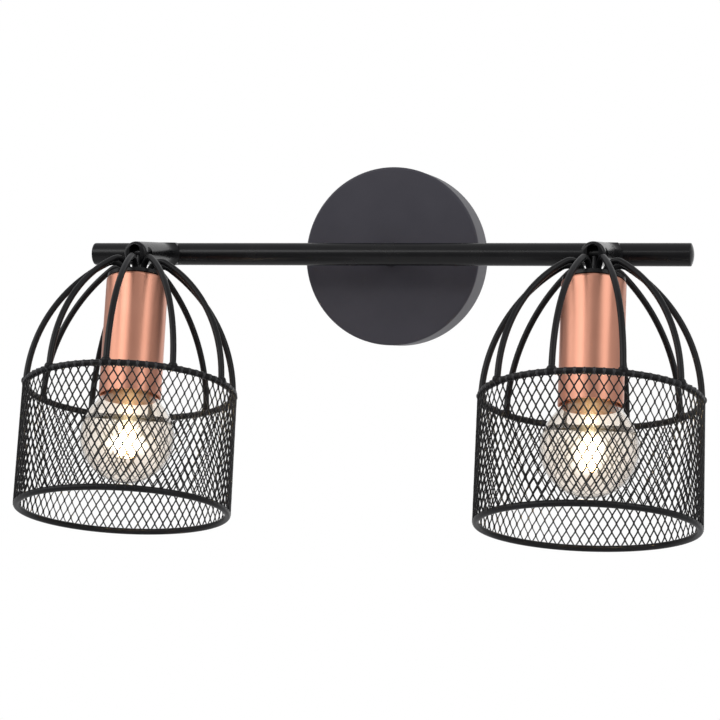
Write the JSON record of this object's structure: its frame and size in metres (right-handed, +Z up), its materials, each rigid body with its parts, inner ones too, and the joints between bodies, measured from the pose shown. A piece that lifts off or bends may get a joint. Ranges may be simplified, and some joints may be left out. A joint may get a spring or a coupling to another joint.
{
  "type": "wall spotlight",
  "caption": "Wall-mounted spot bar with swivelling, tilting wire-and-mesh cage heads over copper lampholder sleeves.",
  "frame": {"origin": "centre of the canopy on the wall plane, midway between the two wall screw slots", "axes": "+X along the bar, +Y into the wall, +Z up"},
  "size_m": [0.4372, 0.2212, 0.2479],
  "materials": {
    "black_paint": "satin",
    "canopy_paint": "satin",
    "copper_plate": "satin",
    "zinc_steel": "satin",
    "brass_metal": "satin",
    "cap_metal": "satin",
    "terminal_plastic": "matt",
    "holder_plastic": "matt",
    "wire_plastic": "matt",
    "clear_glass": "clear",
    "stem_glass": "clear",
    "filament_glow": "glowing"
  },
  "bodies": {
    "fixture": {"wall_bracket": "zinc_steel", "earth_screw": "brass_metal", "terminal_block": "terminal_plastic", "terminal_screws": "zinc_steel", "canopy": "canopy_paint", "canopy_screws": "black_paint", "stand_off": "black_paint", "nipple": "zinc_steel", "nipple_washer": "zinc_steel", "nipple_nut": "zinc_steel", "bar": "black_paint", "left_end_cap": "black_paint", "left_saddle": "black_paint", "left_swivel_bolt": "zinc_steel", "left_lead": "wire_plastic", "right_end_cap": "black_paint", "right_saddle": "black_paint", "right_swivel_bolt": "zinc_steel", "right_lead": "wire_plastic"},
    "left_arm": {"left_arm": "black_paint", "left_pivot_screw": "black_paint", "left_pivot_nut": "black_paint", "left_swivel_washer": "zinc_steel"},
    "left_head": {"left_lug": "black_paint", "left_hub_disc": "black_paint", "left_cage_wires": "black_paint", "left_top_ring": "black_paint", "left_mesh_band": "black_paint", "left_bottom_ring": "black_paint", "left_sleeve": "copper_plate", "left_lock_nut": "zinc_steel", "left_holder_cap": "holder_plastic", "left_holder_shell": "holder_plastic", "left_holder_core": "holder_plastic", "left_screw_shell": "brass_metal", "left_bulb_glass": "clear_glass", "left_bulb_cap": "cap_metal", "left_bulb_stem": "stem_glass", "left_filaments": "filament_glow"},
    "right_arm": {"right_arm": "black_paint", "right_pivot_screw": "black_paint", "right_pivot_nut": "black_paint", "right_swivel_washer": "zinc_steel"},
    "right_head": {"right_lug": "black_paint", "right_hub_disc": "black_paint", "right_cage_wires": "black_paint", "right_top_ring": "black_paint", "right_mesh_band": "black_paint", "right_bottom_ring": "black_paint", "right_sleeve": "copper_plate", "right_lock_nut": "zinc_steel", "right_holder_cap": "holder_plastic", "right_holder_shell": "holder_plastic", "right_holder_core": "holder_plastic", "right_screw_shell": "brass_metal", "right_bulb_glass": "clear_glass", "right_bulb_cap": "cap_metal", "right_bulb_stem": "stem_glass", "right_filaments": "filament_glow"}
  },
  "joints": [
    {"name": "left_swivel", "type": "hinge", "parent": "fixture", "child": "left_arm", "pos_m": [-0.15, -0.07018, -0.00072], "axis": [0, 0.9991, 0.0419], "range_deg": [-21.7, 53.3]},
    {"name": "left_tilt", "type": "hinge", "parent": "left_arm", "child": "left_head", "pos_m": [-0.15, -0.10795, -0.0023], "axis": [-0.9983, 0.0024, -0.0575], "range_deg": [-9, 71.6]},
    {"name": "right_swivel", "type": "hinge", "parent": "fixture", "child": "right_arm", "pos_m": [0.15, -0.07018, -0.00072], "axis": [0, 0.9991, 0.0419], "range_deg": [-48.1, 26.9]},
    {"name": "right_tilt", "type": "hinge", "parent": "right_arm", "child": "right_head", "pos_m": [0.15, -0.10795, -0.0023], "axis": [-0.9995, 0.0014, -0.0331], "range_deg": [-9, 71.6]}
  ]
}
